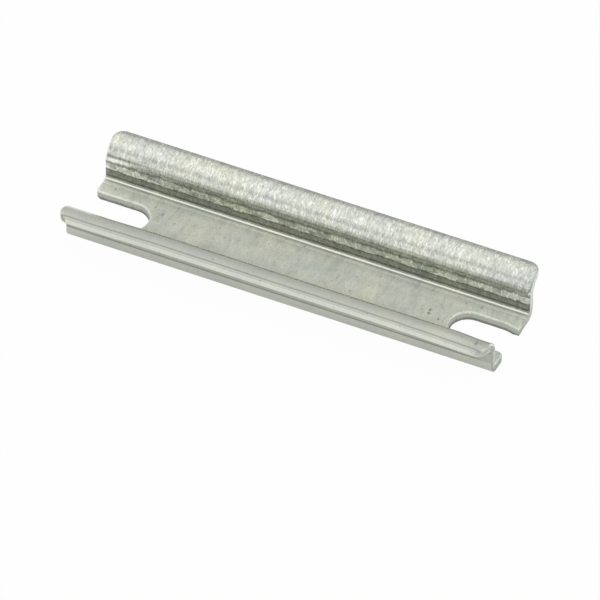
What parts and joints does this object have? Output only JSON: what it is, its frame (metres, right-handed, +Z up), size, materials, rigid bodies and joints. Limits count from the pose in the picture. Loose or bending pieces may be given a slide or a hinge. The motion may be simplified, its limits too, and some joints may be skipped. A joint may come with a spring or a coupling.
{
  "type": "din rail",
  "caption": "Short length of miniature top-hat mounting rail in galvanised steel, with turned-out flanges, rounded ends and an open screw slot through each end of its web.",
  "frame": {"origin": "centre of the rail's length and width, on the underside of the web", "axes": "+X along the rail, +Y across it, +Z up from the web towards the flanges"},
  "size_m": [0.05, 0.015, 0.0055],
  "materials": {
    "galvanised_steel": "hot-dip galvanised, satin, slightly mottled"
  },
  "bodies": {
    "root": {"rail": "galvanised_steel"}
  },
  "joints": []
}
